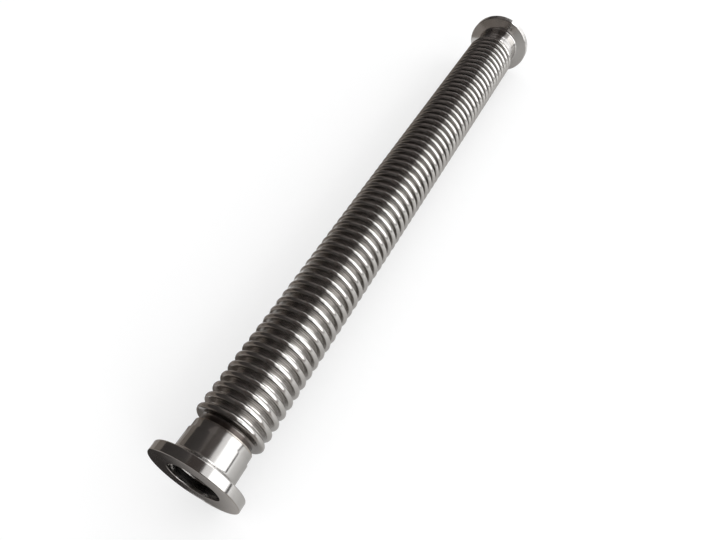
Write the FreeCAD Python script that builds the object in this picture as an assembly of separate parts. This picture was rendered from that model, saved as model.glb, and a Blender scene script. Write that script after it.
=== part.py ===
import FreeCAD, Part
import math
import os

# Vacuum bellows hose with a small clamp flange at each end, in millimetres, +Z up.
# The hose lies along X on the rims of its two flanges. The origin is midway between the
# two sealing faces, on the surface that the rims lie on.

# Flange
flange_diameter = 30.0
rim_thickness = 3.0           # the cylindrical rim, before the back tapers away
rim_edge_break = 0.3          # on both edges of the rim
back_taper = 15.0             # degrees, the slope that the clamp pulls on
bore_diameter = 16.0
bore_edge_break = 0.2
recess_step = 0.6             # radial, from the bore out to the centring ring's recess
recess_depth = 2.6

# Weld stub, turned in one piece with the flange
stub_wall = 2.0
stub_length = 13.0            # from the sealing face to the end that is welded
stub_fillet = 0.8             # where the stub meets the tapered back
weld_end_step = 0.35          # radial, the stub is turned down by this at its end
weld_end_length = 2.0
weld_end_slope = 0.3          # length of the slope between the stub's two diameters

# Bellows, formed from one thin tube
convolution_count = 60
pitch = 3.67
convolution_depth = 3.1
bellows_wall = 0.2
bellows_step = 0.2            # radial, from the stub's bore out to the bellows' bore
bend_flats = 3                # each round bend is this many flats, tangent to its arc
cuff_in_stub = 4.0            # length of the plain cuff inside the stub
cuff_outside = 1.1            # length of plain cuff between the weld and the first bend
cuff_clearance = 0.05         # radial, cuff in stub

# Weld bead, in the corner between the stub's end and the cuff
bead_width = 0.8
bead_shoulder = 0.15          # how far the bead's edge at the stub lies below its crown
bead_toe = 0.6                # height of the bead's other edge above the cuff

flange_radius = flange_diameter / 2
axis_height = flange_radius
bore_radius = bore_diameter / 2
recess_radius = bore_radius + recess_step
stub_radius = bore_radius + stub_wall
weld_end_radius = stub_radius - weld_end_step
cuff_radius = bore_radius + bellows_step + bellows_wall
crest_radius = cuff_radius + convolution_depth
first_bend = stub_length + bead_width + cuff_outside      # from the sealing face
face_x = convolution_count * pitch / 2 + first_bend       # half the hose's length


def point(x, radius):
    """A point of the half section above the hose's axis."""
    return FreeCAD.Vector(x, 0, axis_height + radius)


def lines(corners):
    """Straight edges through the corners, in order."""
    points = [point(*corner) for corner in corners]
    return [Part.LineSegment(a, b).toShape() for a, b in zip(points, points[1:])]


def arc(start, middle, end):
    return Part.Arc(point(*start), point(*middle), point(*end)).toShape()


def revolved(edges):
    """The solid of revolution of a closed half section."""
    section = Part.Face(Part.Wire(edges))
    return section.revolve(point(0, 0), FreeCAD.Vector(1, 0, 0), 360)


def left_flange():
    """Clamp flange and weld stub, turned from one bar. The sealing face looks along -X."""
    face = -face_x
    slope = math.radians(back_taper)
    corner_x = face + rim_thickness + (flange_radius - stub_radius) * math.tan(slope)
    # the fillet's tangent points and middle, about the corner of taper and stub
    tangent = stub_fillet * math.tan((math.pi / 2 - slope) / 2)
    on_taper = (corner_x - tangent * math.sin(slope), stub_radius + tangent * math.cos(slope))
    on_stub = (corner_x + tangent, stub_radius)
    half_turn = (math.pi / 2 - slope) / 2
    on_fillet = (
        on_stub[0] - stub_fillet * math.sin(half_turn),
        on_stub[1] + stub_fillet * (1 - math.cos(half_turn)),
    )
    taper_start = (
        face + rim_thickness + rim_edge_break * math.tan(slope),
        flange_radius - rim_edge_break,
    )
    weld_end = face + stub_length
    step_x = weld_end - weld_end_length
    seat_x = weld_end - cuff_in_stub
    socket_radius = cuff_radius + cuff_clearance
    outside = lines([
        (face, recess_radius + bore_edge_break),
        (face, flange_radius - rim_edge_break),
        (face + rim_edge_break, flange_radius),
        (face + rim_thickness - rim_edge_break, flange_radius),
        taper_start,
        on_taper,
    ])
    fillet = arc(on_taper, on_fillet, on_stub)
    inside = lines([
        on_stub,
        (step_x - weld_end_slope, stub_radius),
        (step_x, weld_end_radius),
        (weld_end, weld_end_radius),
        (weld_end, socket_radius),
        (seat_x, socket_radius),
        (seat_x, bore_radius),
        (face + recess_depth + bore_edge_break, bore_radius),
        (face + recess_depth, bore_radius + bore_edge_break),
        (face + recess_depth, recess_radius),
        (face + bore_edge_break, recess_radius),
        (face, recess_radius + bore_edge_break),
    ])
    return revolved(outside + [fillet] + inside)


def bend(centre_x, peak_radius, bend_radius, outward):
    """Corners of one U bend: flats tangent to an arc that ends square to the hose's axis."""
    step = math.pi / (bend_flats + 1)
    corner = bend_radius / math.cos(step / 2)
    angles = [step * (i + 0.5) for i in range(bend_flats + 1)]
    return [
        (
            centre_x - corner * math.cos(angle),
            peak_radius + outward * (corner * math.sin(angle) - bend_radius),
        )
        for angle in angles
    ]


def bellows_surface(crest, crest_bend, root, root_bend):
    """One side of the bellows' wall, from cuff tip to cuff tip."""
    start = -convolution_count * pitch / 2
    corners = bend(start, root, root_bend, -1)
    for i in range(convolution_count):
        corners += bend(start + (i + 0.5) * pitch, crest, crest_bend, 1)
        corners += bend(start + (i + 1) * pitch, root, root_bend, -1)
    # the first and the last root are half bends that run on into the plain cuffs
    half = (bend_flats + 1) // 2
    cuff_tip = face_x - stub_length + cuff_in_stub
    return [(-cuff_tip, root)] + corners[half:-half] + [(cuff_tip, root)]


def bellows():
    """U-shaped convolutions and two plain cuffs in a wall of one thickness."""
    outer_crest = pitch / 4 + bellows_wall / 2
    outer_root = pitch / 4 - bellows_wall / 2
    outer = bellows_surface(crest_radius, outer_crest, cuff_radius, outer_root)
    inner = bellows_surface(
        crest_radius - bellows_wall, outer_root, cuff_radius - bellows_wall, outer_crest
    )
    return revolved(lines(outer + inner[::-1] + outer[:1]))


def left_weld():
    """Bead that joins the stub's end to the cuff all the way round."""
    start = -face_x + stub_length
    end = start + bead_width
    shoulder = (start, weld_end_radius - bead_shoulder)
    crown = (start + bead_width / 2, weld_end_radius)
    toe = (end, cuff_radius + bead_toe)
    foot = lines([toe, (end, cuff_radius), (start, cuff_radius), shoulder])
    return revolved([arc(shoulder, crown, toe)] + foot)


def mirrored(shape):
    """The same piece at the other end of the hose."""
    return shape.mirror(FreeCAD.Vector(0, 0, 0), FreeCAD.Vector(1, 0, 0))


parts = {
    "left_flange": left_flange(),
    "left_weld": left_weld(),
    "bellows": bellows(),
    "right_flange": mirrored(left_flange()),
    "right_weld": mirrored(left_weld()),
}

os.makedirs("parts", exist_ok=True)
for name, shape in parts.items():
    shape.exportStep(f"parts/{name}.step")
    print(f"{name}: valid {shape.isValid()}, volume {shape.Volume:.1f} mm3")
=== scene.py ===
import math

import bmesh
import bpy
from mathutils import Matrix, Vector


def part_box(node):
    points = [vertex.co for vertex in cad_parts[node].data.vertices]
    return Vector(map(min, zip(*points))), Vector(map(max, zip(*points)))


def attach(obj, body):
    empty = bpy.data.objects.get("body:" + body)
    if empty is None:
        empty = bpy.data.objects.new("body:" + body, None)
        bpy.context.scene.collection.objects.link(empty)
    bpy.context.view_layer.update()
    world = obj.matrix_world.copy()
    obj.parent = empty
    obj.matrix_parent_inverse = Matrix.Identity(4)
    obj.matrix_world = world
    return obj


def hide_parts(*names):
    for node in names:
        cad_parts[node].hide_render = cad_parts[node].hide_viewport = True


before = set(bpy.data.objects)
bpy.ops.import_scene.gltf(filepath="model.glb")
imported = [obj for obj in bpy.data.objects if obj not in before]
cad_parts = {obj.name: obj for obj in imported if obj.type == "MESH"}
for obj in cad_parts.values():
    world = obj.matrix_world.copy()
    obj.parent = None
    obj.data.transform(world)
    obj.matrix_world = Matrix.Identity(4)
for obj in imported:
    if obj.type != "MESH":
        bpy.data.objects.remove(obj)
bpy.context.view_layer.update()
flange_low, flange_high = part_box("right_flange")

MM = 0.001
AXIS_HEIGHT = (flange_low.z + flange_high.z) / 2

# The hose in millimetres: x from its middle, radii from its axis.
FACE = flange_high.x / MM
RIM_RADIUS = 15.0
RIM_THICKNESS = 3.0
BACK_TAPER = math.radians(15)
RECESS_RADIUS = 8.6
RECESS_DEPTH = 2.6
BORE_RADIUS = 8.0
STUB_RADIUS = 10.0
STUB_LENGTH = 13.0
STUB_END = FACE - STUB_LENGTH
WELD_END_RADIUS = 9.65
WELD_END_LENGTH = 2.0
WELD_END_SLOPE = 0.3
SOCKET_RADIUS = 8.45

CONVOLUTIONS = 60
PITCH = 3.67
CREST_RADIUS = 11.5
CUFF_RADIUS = 8.4
CUFF_IN_STUB = 4.0
WALL = 0.2

# Each crown point of a weld bead: its distance from the stub's end, and its radius.
BEAD_WIDTH = 0.8
BEAD_CROWN = ((0.0, 9.5), (0.15, 9.6), (0.4, WELD_END_RADIUS), (0.6, 9.5), (BEAD_WIDTH, 9.0))

# Steps round the axis and round one bend, and what counts as the same place, in metres.
RING_STEPS = 160
BELLOWS_RING_STEPS = 56
BEND_STEPS = 6
MERGE_DISTANCE = 1e-7
RING_TOLERANCE = 1e-6


# ---------------------------------------------------------------- materials

def linear(hex_colour):
    """An sRGB hex colour as the linear values that a shader takes."""
    channels = [int(hex_colour[i:i + 2], 16) / 255 for i in (1, 3, 5)]
    return tuple(
        c / 12.92 if c <= 0.04045 else ((c + 0.055) / 1.055) ** 2.4 for c in channels
    ) + (1.0,)


def add_node(tree, kind, inputs=None, **settings):
    """A node with its settings. An input is a value, or the output socket that it is linked to."""
    made = tree.nodes.new(kind)
    for name, value in settings.items():
        setattr(made, name, value)
    for key, value in (inputs or {}).items():
        if isinstance(value, bpy.types.NodeSocket):
            tree.links.new(value, made.inputs[key])
        else:
            made.inputs[key].default_value = value
    return made


def empty_material(name):
    material = bpy.data.materials.new(name)
    material.use_nodes = True
    material.node_tree.nodes.clear()
    return material, material.node_tree


def place_in_mm(tree):
    """The shaded place in millimetres from the middle of the hose's axis."""
    place = add_node(tree, "ShaderNodeTexCoord").outputs["Object"]
    from_axis = add_node(tree, "ShaderNodeVectorMath", {
        0: place, 1: (0, 0, AXIS_HEIGHT),
    }, operation="SUBTRACT")
    return add_node(tree, "ShaderNodeVectorMath", {
        0: from_axis.outputs[0], "Scale": 1 / MM,
    }, operation="SCALE").outputs[0]


def along_and_radius(tree, place):
    """How far a place lies along the hose, and how far from its axis."""
    along = add_node(tree, "ShaderNodeSeparateXYZ", {0: place})
    across = add_node(tree, "ShaderNodeVectorMath", {0: place, 1: (0, 1, 1)}, operation="MULTIPLY")
    radius = add_node(tree, "ShaderNodeVectorMath", {0: across.outputs[0]}, operation="LENGTH")
    return along.outputs["X"], radius.outputs["Value"]


def finish_as_metal(tree, tone, roughness, height, depth):
    """Ends a material as bare metal, with its relief given as a height and a depth in millimetres."""
    relief = add_node(tree, "ShaderNodeBump", {
        "Height": height, "Strength": 1.0, "Distance": depth * MM,
    })
    shader = add_node(tree, "ShaderNodeBsdfPrincipled", {
        "Base Color": tone, "Metallic": 1.0, "Roughness": roughness, "Normal": relief.outputs[0],
    })
    add_node(tree, "ShaderNodeOutputMaterial", {"Surface": shader.outputs[0]})


def turned_stainless():
    """Lathe cut and fine polished: rings of tool marks that draw reflections out along the axis,
    over a bright surface with a few duller patches from handling."""
    # Real feed marks are 0.05 mm apart. These are coarser than real, to be seen at all.
    mark_spacing = 0.4
    mark_depth = 0.003
    patch_size = 7.0
    polished, handled = 0.11, 0.2
    material, tree = empty_material("turned stainless steel")
    place = place_in_mm(tree)
    along, radius = along_and_radius(tree, place)
    # The tool's path runs along the neck and across the faces, so both lengths count.
    path = add_node(tree, "ShaderNodeMath", {0: along, 1: radius}, operation="ADD")
    marks = add_node(tree, "ShaderNodeTexNoise", {
        "W": path.outputs[0], "Scale": 1 / mark_spacing, "Detail": 2.0,
    }, noise_dimensions="1D")
    patches = add_node(tree, "ShaderNodeTexNoise", {
        "Vector": place, "Scale": 1 / patch_size, "Detail": 3.0,
    })
    dullness = add_node(tree, "ShaderNodeMapRange", {
        "Value": patches.outputs[0], "From Min": 0.35, "From Max": 0.7,
        "To Min": polished, "To Max": handled,
    })
    tone = add_node(tree, "ShaderNodeMix", {
        0: patches.outputs[0], 6: linear("#c4c2c0"), 7: linear("#b9b6b3"),
    }, data_type="RGBA")
    finish_as_metal(tree, tone.outputs[2], dullness.outputs[0], marks.outputs[0], mark_depth)
    return material


def formed_stainless():
    """Thin sheet pressed out into convolutions: bright rolled skin, slightly uneven where it was
    stretched, and brown where the welds heated it."""
    uneven_size = 2.5
    uneven_depth = 0.012
    patch_size = 18.0
    patch_dullness = 0.06
    rubbed_radius = 9.5
    root_roughness, crest_roughness = 0.2, 0.13
    tint_starts, tint_is_full = 108.4, 110.2
    material, tree = empty_material("formed stainless steel sheet")
    place = place_in_mm(tree)
    along, radius = along_and_radius(tree, place)
    unevenness = add_node(tree, "ShaderNodeTexNoise", {
        "Vector": place, "Scale": 1 / uneven_size, "Detail": 2.0,
    })
    patches = add_node(tree, "ShaderNodeTexNoise", {
        "Vector": place, "Scale": 1 / patch_size, "Detail": 3.0,
    })
    # Crests are rubbed bright, while the roots keep the duller skin of the sheet.
    rubbed = add_node(tree, "ShaderNodeMapRange", {
        "Value": radius, "From Min": rubbed_radius, "From Max": CREST_RADIUS,
        "To Min": root_roughness, "To Max": crest_roughness,
    })
    dullness = add_node(tree, "ShaderNodeMath", {
        0: patches.outputs[0], 1: patch_dullness, 2: rubbed.outputs[0],
    }, operation="MULTIPLY_ADD")
    tone = add_node(tree, "ShaderNodeMix", {
        0: patches.outputs[0], 6: linear("#c6c4c1"), 7: linear("#bbb7b4"),
    }, data_type="RGBA")
    # The last few millimetres beside each weld took its heat and stayed brown.
    from_middle = add_node(tree, "ShaderNodeMath", {0: along}, operation="ABSOLUTE")
    heat = add_node(tree, "ShaderNodeMapRange", {
        "Value": from_middle.outputs[0], "From Min": tint_starts, "From Max": tint_is_full,
    })
    tinted = add_node(tree, "ShaderNodeMix", {
        0: heat.outputs[0], 6: tone.outputs[2], 7: linear("#57504c"),
    }, data_type="RGBA")
    finish_as_metal(tree, tinted.outputs[2], dullness.outputs[0], unevenness.outputs[0], uneven_depth)
    return material


def fused_stainless():
    """Edge weld melted without filler: fine ripples round the ring and a straw to brown heat tint."""
    ripple_size = 0.5
    ripple_depth = 0.02
    tint_size = 3.0
    roughness = 0.22
    material, tree = empty_material("fused stainless steel weld")
    place = place_in_mm(tree)
    ripples = add_node(tree, "ShaderNodeTexNoise", {
        "Vector": place, "Scale": 1 / ripple_size, "Detail": 1.0,
    })
    tint = add_node(tree, "ShaderNodeTexNoise", {
        "Vector": place, "Scale": 1 / tint_size, "Detail": 2.0,
    })
    tone = add_node(tree, "ShaderNodeMix", {
        0: tint.outputs[0], 6: linear("#c2beb9"), 7: linear("#a89f96"),
    }, data_type="RGBA")
    finish_as_metal(tree, tone.outputs[2], roughness, ripples.outputs[0], ripple_depth)
    return material


# ---------------------------------------------------------------- shapes

def half_section(bm, corners):
    """Vertices and edges of a closed outline above the axis, through (x, radius) corners in mm."""
    verts = [bm.verts.new((x * MM, 0, AXIS_HEIGHT + radius * MM)) for x, radius in corners]
    edges = [bm.edges.new(pair) for pair in zip(verts, verts[1:] + verts[:1])]
    return verts + edges


def spin_round(bm, outline, steps):
    """Turns a half section once round the hose's axis and closes the seam."""
    bmesh.ops.spin(
        bm, geom=outline, cent=(0, 0, AXIS_HEIGHT), axis=(1, 0, 0), dvec=(0, 0, 0),
        angle=2 * math.pi, steps=steps, use_merge=True, use_normal_flip=False,
        use_duplicate=False,
    )
    bmesh.ops.remove_doubles(bm, verts=bm.verts, dist=MERGE_DISTANCE)


def ring_edges(bm, x, radius):
    """The edges of the ring that a corner of the half section was turned into."""
    def on_ring(vert):
        from_axis = math.hypot(vert.co.y, vert.co.z - AXIS_HEIGHT)
        return (abs(vert.co.x - x * MM) < RING_TOLERANCE
                and abs(from_axis - radius * MM) < RING_TOLERANCE)
    return [edge for edge in bm.edges if all(on_ring(vert) for vert in edge.verts)]


def finished(bm, name, material, sharp_degrees=50):
    """The bmesh as a smooth shaded piece whose flat and straight stretches keep their own normals."""
    bmesh.ops.recalc_face_normals(bm, faces=bm.faces)
    mesh = bpy.data.meshes.new(name)
    bm.to_mesh(mesh)
    bm.free()
    mesh.materials.append(material)
    mesh.shade_smooth()
    mesh.set_sharp_from_angle(angle=math.radians(sharp_degrees))
    piece = bpy.data.objects.new(name, mesh)
    bpy.context.scene.collection.objects.link(piece)
    even = piece.modifiers.new("Even shading", "WEIGHTED_NORMAL")
    even.keep_sharp = True
    even.weight = 90
    return piece


def turned_flange(name, side, material):
    """Clamp flange and weld stub. Side is -1 for the left end and 1 for the right end."""
    taper_length = (RIM_RADIUS - STUB_RADIUS) * math.tan(BACK_TAPER)
    neck_end = STUB_END + WELD_END_LENGTH
    recess_edge = (FACE, RECESS_RADIUS)
    rim_front = (FACE, RIM_RADIUS)
    rim_back = (FACE - RIM_THICKNESS, RIM_RADIUS)
    taper_foot = (FACE - RIM_THICKNESS - taper_length, STUB_RADIUS)
    bore_edge = (FACE - RECESS_DEPTH, BORE_RADIUS)
    # From the sealing face over the rim and along the stub, then back through the bore.
    corners = [
        recess_edge, rim_front, rim_back, taper_foot,
        (neck_end + WELD_END_SLOPE, STUB_RADIUS),
        (neck_end, WELD_END_RADIUS),
        (STUB_END, WELD_END_RADIUS),
        (STUB_END, SOCKET_RADIUS),
        (STUB_END + CUFF_IN_STUB, SOCKET_RADIUS),
        (STUB_END + CUFF_IN_STUB, BORE_RADIUS),
        bore_edge,
        (FACE - RECESS_DEPTH, RECESS_RADIUS),
    ]
    edge_sizes = {recess_edge: 0.2, rim_front: 0.3, rim_back: 0.3, taper_foot: 0.7, bore_edge: 0.2}

    bm = bmesh.new()
    outline = half_section(bm, [(side * x, radius) for x, radius in corners])
    spin_round(bm, outline, RING_STEPS)
    for (x, radius), size in edge_sizes.items():
        bmesh.ops.bevel(
            bm, geom=ring_edges(bm, side * x, radius), offset=size * MM, offset_type="OFFSET",
            segments=4, profile=0.5, affect="EDGES", material=-1, clamp_overlap=True,
        )
    return finished(bm, name, material)


def weld_bead(name, side, material):
    """The ring of melted metal in the corner between a stub's end and the bellows' cuff."""
    crown = [(STUB_END - distance, radius) for distance, radius in BEAD_CROWN]
    corners = [(STUB_END, CUFF_RADIUS)] + crown + [(STUB_END - BEAD_WIDTH, CUFF_RADIUS)]
    bm = bmesh.new()
    outline = half_section(bm, [(side * x, radius) for x, radius in corners])
    spin_round(bm, outline, RING_STEPS)
    return finished(bm, name, material)


def bend(middle, peak, radius, outward):
    """Half a circle from flank to flank, whose peak points out (1) or in (-1)."""
    for step in range(BEND_STEPS + 1):
        angle = math.pi * step / BEND_STEPS
        yield (middle - radius * math.cos(angle), peak + outward * (radius * math.sin(angle) - radius))


def wall_line(crest, crest_bend, root, root_bend):
    """One side of the bellows' wall from cuff end to cuff end, as (x, radius) corners."""
    first_root = -CONVOLUTIONS * PITCH / 2
    points = []
    for fold in range(CONVOLUTIONS + 1):
        points += bend(first_root + fold * PITCH, root, root_bend, -1)
        if fold < CONVOLUTIONS:
            points += bend(first_root + (fold + 0.5) * PITCH, crest, crest_bend, 1)
    # Outside the middle of the first and last root, the wall runs on straight as the cuff.
    half_bend = BEND_STEPS // 2
    cuff_end = STUB_END + CUFF_IN_STUB
    return [(-cuff_end, root)] + points[half_bend:-half_bend] + [(cuff_end, root)]


def bellows_tube(name, material):
    """U-shaped convolutions with round bends, and the plain cuff at each end."""
    wide_bend = PITCH / 4 + WALL / 2
    tight_bend = PITCH / 4 - WALL / 2
    outer = wall_line(CREST_RADIUS, wide_bend, CUFF_RADIUS, tight_bend)
    inner = wall_line(CREST_RADIUS - WALL, tight_bend, CUFF_RADIUS - WALL, wide_bend)
    bm = bmesh.new()
    outline = half_section(bm, outer + inner[::-1])
    spin_round(bm, outline, BELLOWS_RING_STEPS)
    return finished(bm, name, material, sharp_degrees=60)


steel_turned = turned_stainless()
steel_formed = formed_stainless()
steel_fused = fused_stainless()

pieces = {
    "left_flange": (turned_flange("flange_left", -1, steel_turned), "turned_steel"),
    "right_flange": (turned_flange("flange_right", 1, steel_turned), "turned_steel"),
    "left_weld": (weld_bead("weld_bead_left", -1, steel_fused), "weld_steel"),
    "right_weld": (weld_bead("weld_bead_right", 1, steel_fused), "weld_steel"),
    "bellows": (bellows_tube("bellows_tube", steel_formed), "formed_steel"),
}
for node, (piece, slot) in pieces.items():
    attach(piece, "root")
    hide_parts(node)


# ---------------------------------------------------------------- studio

def seen_ray(tree):
    """1 for the rays that show a surface directly, in metal or through glass, else 0."""
    rays = add_node(tree, "ShaderNodeLightPath")
    seen = add_node(tree, "ShaderNodeMath", {
        0: rays.outputs["Is Camera Ray"], 1: rays.outputs["Is Glossy Ray"],
    }, operation="MAXIMUM")
    return add_node(tree, "ShaderNodeMath", {
        0: seen.outputs[0], 1: rays.outputs["Is Transmission Ray"],
    }, operation="MAXIMUM").outputs[0]


def matte_board():
    """White painted board. Where it is seen, half of its white is its own, which keeps it white
    and still shows the hose's shadow."""
    own_white = 0.5
    material, tree = empty_material("matte white board")
    shader = add_node(tree, "ShaderNodeBsdfPrincipled", {
        "Base Color": linear("#ffffff"), "Roughness": 0.7,
    })
    white = add_node(tree, "ShaderNodeEmission", {"Color": linear("#ffffff"), "Strength": 1.0})
    share = add_node(tree, "ShaderNodeMath", {0: seen_ray(tree), 1: own_white}, operation="MULTIPLY")
    mixed = add_node(tree, "ShaderNodeMixShader", {
        0: share.outputs[0], 1: shader.outputs[0], 2: white.outputs[0],
    })
    add_node(tree, "ShaderNodeOutputMaterial", {"Surface": mixed.outputs[0]})
    return material


def plain_card(name, colour, roughness):
    """One even colour: woven cloth is rough and gives no highlight, and acrylic sheet is glossy."""
    material, tree = empty_material(name)
    shader = add_node(tree, "ShaderNodeBsdfPrincipled", {
        "Base Color": linear(colour), "Roughness": roughness,
    })
    add_node(tree, "ShaderNodeOutputMaterial", {"Surface": shader.outputs[0]})
    return material


def face_shadow_card():
    """Painted shadow of the flange on the floor: fades from pale to dark, away from the window and towards
    the end face.
    """
    fade_direction = (2.2, 1.0, 0.0)
    fade_starts, fade_ends = -0.290, -0.268
    material, tree = empty_material("painted face shadow card")
    place = add_node(tree, "ShaderNodeTexCoord").outputs["Object"]
    across = add_node(tree, "ShaderNodeVectorMath", {0: place, 1: fade_direction}, operation="DOT_PRODUCT")
    fade = add_node(tree, "ShaderNodeMapRange", {
        "Value": across.outputs["Value"], "From Min": fade_starts, "From Max": fade_ends,
    })
    tone = add_node(tree, "ShaderNodeMix", {
        0: fade.outputs[0], 6: linear("#bbb7b3"), 7: linear("#332e2c"),
    }, data_type="RGBA")
    shader = add_node(tree, "ShaderNodeBsdfPrincipled", {"Base Color": tone.outputs[2], "Roughness": 0.9})
    add_node(tree, "ShaderNodeOutputMaterial", {"Surface": shader.outputs[0]})
    return material


def panel(name, corners, material):
    """A flat stage piece through its corners, in metres."""
    bm = bmesh.new()
    bm.faces.new([bm.verts.new(corner) for corner in corners])
    mesh = bpy.data.meshes.new(name)
    bm.to_mesh(mesh)
    bm.free()
    mesh.materials.append(material)
    made = bpy.data.objects.new(name, mesh)
    bpy.context.scene.collection.objects.link(made)
    return made


def rectangle(start, end):
    """The four corners of a rectangle, from two opposite ones."""
    return [start, (end[0], start[1]), end, (start[0], end[1])]


def lying(height, spots):
    """Corners at one height, from (x, y) spots."""
    return [(x, y, height) for x, y in spots]


def lengthways(y, spots):
    """Corners that stand or hang in a plane along the hose, from (x, z) spots."""
    return [(x, y, z) for x, z in spots]


def crossways(x, spots):
    """Corners that stand in a plane across the hose, from (y, z) spots."""
    return [(x, y, z) for y, z in spots]


FLOOR_REACH = 6.0
floor_corners = lying(0.0, rectangle((-FLOOR_REACH, -FLOOR_REACH), (FLOOR_REACH, FLOOR_REACH)))
panel("floor", floor_corners, matte_board())

CLOTH_ROUGHNESS = 0.95
dark_cloth = plain_card("dark brown cloth", "#2e2a28", CLOTH_ROUGHNESS)
canopy_cloth = plain_card("canopy cloth", "#433c39", CLOTH_ROUGHNESS)
pale_canopy = plain_card("pale canopy cloth", "#534d4a", CLOTH_ROUGHNESS)
brown_cloth = plain_card("brown cloth", "#6b645e", CLOTH_ROUGHNESS)
grey_cloth = plain_card("grey cloth", "#98918b", CLOTH_ROUGHNESS)
acrylic = plain_card("grey acrylic sheet", "#d4d3d1", 0.08)

# The studio in metres: a cloth wall on the +Y side, cloth beyond the left end, a cloth canopy
# above, and a sheet that ends just short of the window and just past the left face.
WALL_Y = 0.09
WALL_MIDDLE = -0.04
WALL_FOLD = 0.12
CANOPY_HEIGHT = 0.6
CANOPY_LEFT = -0.9
CANOPY_RIGHT = 1.1
BACK_X = -0.7
BACK_TOP = 1.2
FOOT_HEIGHT = 0.11
FOOT_GAP = 0.001
WINDOW_FOOT = -1.15
LEFT_FACE_LINE = -0.1252
MAT_EDGE = 0.035
CAP_MAT_EDGE = -0.1135

# What lies on the floor lies in thin layers, so that no two that overlap share a plane.
SHEET_LAYER = 0.0004
CARD_LAYER = 0.0006
STRIP_LAYER = 0.0008
CAP_LAYER = 0.0009

# Reflections alone meet these cards, so the steel shows dark bands beside the window while the
# floor stays evenly lit. The near mat and the two cap mats are painted shadow: the hose's shade on
# the floor beside it, which the first convolutions reflect. The cap mats tone the caps of the first two.
cards = {
    "dark_wall": (dark_cloth, lengthways(WALL_Y, [
        (CANOPY_LEFT, 0.0), (0.35, 0.0), (0.5, WALL_FOLD), (CANOPY_LEFT, WALL_FOLD),
    ])),
    "wall_near": (dark_cloth, lengthways(WALL_Y, rectangle(
        (CANOPY_LEFT, WALL_FOLD), (WALL_MIDDLE, CANOPY_HEIGHT),
    ))),
    "wall_far": (pale_canopy, lengthways(WALL_Y, [
        (WALL_MIDDLE, WALL_FOLD), (0.5, WALL_FOLD),
        (CANOPY_RIGHT, CANOPY_HEIGHT), (WALL_MIDDLE, CANOPY_HEIGHT),
    ])),
    "wall_foot": (brown_cloth, lengthways(WALL_Y - FOOT_GAP, [
        (BACK_X, 0.0), (0.3, 0.0), (0.3, 0.04), (-0.25, 0.04), (BACK_X, FOOT_HEIGHT),
    ])),
    "canopy_near": (canopy_cloth, lying(CANOPY_HEIGHT, [
        (CANOPY_LEFT, WALL_Y), (0.04, WALL_Y), (0.04, -0.27), (-0.05, -0.295), (CANOPY_LEFT, -0.295),
    ])),
    "canopy_middle": (pale_canopy, lying(CANOPY_HEIGHT, [
        (0.04, WALL_Y), (0.45, WALL_Y), (0.45, -0.23), (0.3, -0.23), (0.04, -0.27),
    ])),
    "canopy_far": (canopy_cloth, lying(CANOPY_HEIGHT, rectangle(
        (0.45, WALL_Y), (CANOPY_RIGHT, -0.22),
    ))),
    "dark_back": (dark_cloth, crossways(BACK_X, rectangle(
        (WINDOW_FOOT, 0.0), (WALL_Y, BACK_TOP),
    ))),
    "back_foot": (brown_cloth, crossways(BACK_X + FOOT_GAP, rectangle(
        (WINDOW_FOOT, 0.0), (WALL_Y, FOOT_HEIGHT),
    ))),
    "dark_strip": (dark_cloth, lying(STRIP_LAYER, [
        (-0.2, -0.16), (-0.2, -0.55), (0.5, -0.55), (0.2, -0.16),
    ])),
    "grey_mat": (grey_cloth, lying(SHEET_LAYER, rectangle(
        (BACK_X, MAT_EDGE), (0.35, WALL_Y),
    ))),
    # Painted shadow: the floor in the hose's shade beside the first convolutions.
    "near_mat": (brown_cloth, lying(CARD_LAYER, rectangle(
        (-0.108, 0.0), (-0.075, MAT_EDGE),
    ))),
    # Painted shadow, both cap mats: the floor in the hose's shade, as the caps of the first two
    # convolutions reflect it.
    "cap_mat": (brown_cloth, lying(CAP_LAYER, rectangle(
        (-0.1178, 0.016), (CAP_MAT_EDGE, 0.033),
    ))),
    "second_cap_mat": (grey_cloth, lying(CAP_LAYER, rectangle(
        (CAP_MAT_EDGE, 0.016), (-0.108, 0.031),
    ))),
    # Painted shadow: the flange's shade on the floor in front of the left face, as that face reflects it.
    "end_face_shadow": (face_shadow_card(), lying(CARD_LAYER, rectangle(
        (-0.18, -0.04), (LEFT_FACE_LINE, 0.05),
    ))),
    "end_mat": (grey_cloth, lying(SHEET_LAYER, rectangle(
        (BACK_X, WINDOW_FOOT), (LEFT_FACE_LINE, MAT_EDGE),
    ))),
    "sheet": (acrylic, lying(SHEET_LAYER, rectangle(
        (LEFT_FACE_LINE, WINDOW_FOOT), (1.5, 0.0),
    ))),
}
for card_name, (material, corners) in cards.items():
    card = panel(card_name, corners, material)
    card.visible_camera = False
    card.visible_diffuse = False
    card.visible_shadow = False


WINDOW_Y = -1.2
PANE_HEIGHT = 1.24
PANE_MIDDLE = 0.65
INTO_ROOM = (0, 1, 0)
TOWARDS_LEFT = (-1, 0, 0)
DAYLIGHT = (0.965, 0.985, 1.0)


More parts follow.
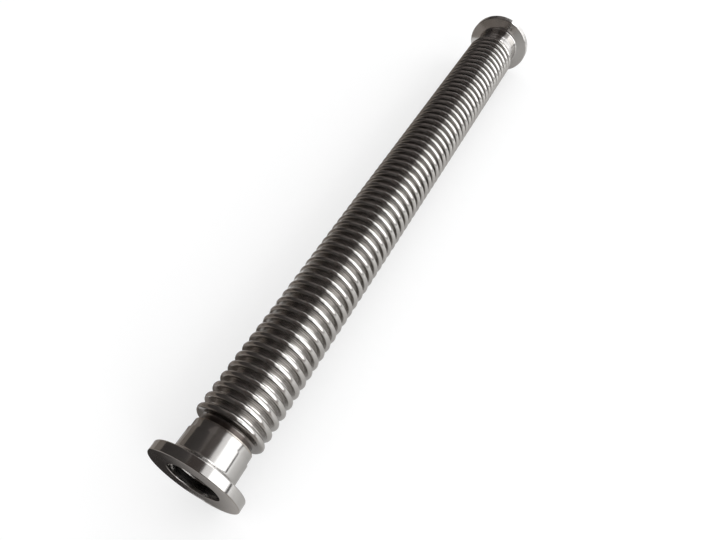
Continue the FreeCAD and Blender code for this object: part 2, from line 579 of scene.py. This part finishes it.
def softbox(name, place, facing, width, height, radiance):
    """An area lamp whose brightness per area is given, with its width level."""
    data = bpy.data.lights.new(name, "AREA")
    data.shape = "RECTANGLE"
    data.size = width
    data.size_y = height
    data.energy = radiance * math.pi * width * height
    data.color = DAYLIGHT
    lamp = bpy.data.objects.new(name, data)
    lamp.location = place
    lamp.rotation_mode = "QUATERNION"
    lamp.rotation_quaternion = Vector(facing).to_track_quat("-Z", "Y")
    bpy.context.scene.collection.objects.link(lamp)


# The window is on the -Y side: three panes in a row, a dim one above and one round the corner.
softbox("window", (0.425, WINDOW_Y, PANE_MIDDLE), INTO_ROOM, 1.75, PANE_HEIGHT, radiance=1.35)
softbox("window_near", (-0.775, WINDOW_Y, PANE_MIDDLE), INTO_ROOM, 0.65, PANE_HEIGHT, radiance=3.2)
softbox("window_far", (2.1, WINDOW_Y, PANE_MIDDLE), INTO_ROOM, 1.6, PANE_HEIGHT, radiance=0.7)
softbox("window_top", (1.1, WINDOW_Y, 1.75), INTO_ROOM, 3.6, 0.98, radiance=0.2)
softbox("window_end", (2.9, -0.87, 1.0), TOWARDS_LEFT, 0.66, 1.8, radiance=4.0)

# The room round the stage is white where it is seen, and lights the hose a little less than that.
ROOM_LIGHT = 0.85
ROOM_SEEN = 1.0
world = bpy.data.worlds.new("studio")
bpy.context.scene.world = world
world.use_nodes = True
world_tree = world.node_tree
world_tree.nodes.clear()
room_strength = add_node(world_tree, "ShaderNodeMapRange", {
    "Value": seen_ray(world_tree), "To Min": ROOM_LIGHT, "To Max": ROOM_SEEN,
})
room = add_node(world_tree, "ShaderNodeBackground", {
    "Color": linear("#ffffff"), "Strength": room_strength.outputs[0],
})
add_node(world_tree, "ShaderNodeOutputWorld", {"Surface": room.outputs[0]})


# ---------------------------------------------------------------- camera

CAMERA_PLACE = (-0.156538, -0.075748, 0.185711)
CAMERA_FACING = (0.632404, 0.310833, -0.709541)

camera_data = bpy.data.cameras.new("camera")
camera_data.sensor_width = 36
camera_data.lens = 30.72
camera_data.shift_x = -0.0492
camera_data.shift_y = -0.0994
camera_data.clip_start = 0.01
camera = bpy.data.objects.new("camera", camera_data)
camera.location = CAMERA_PLACE
camera.rotation_mode = "QUATERNION"
camera.rotation_quaternion = Vector(CAMERA_FACING).to_track_quat("-Z", "Y")
bpy.context.scene.collection.objects.link(camera)
bpy.context.scene.camera = camera

bpy.context.scene.view_settings.view_transform = "Standard"

bpy.context.view_layer.update()
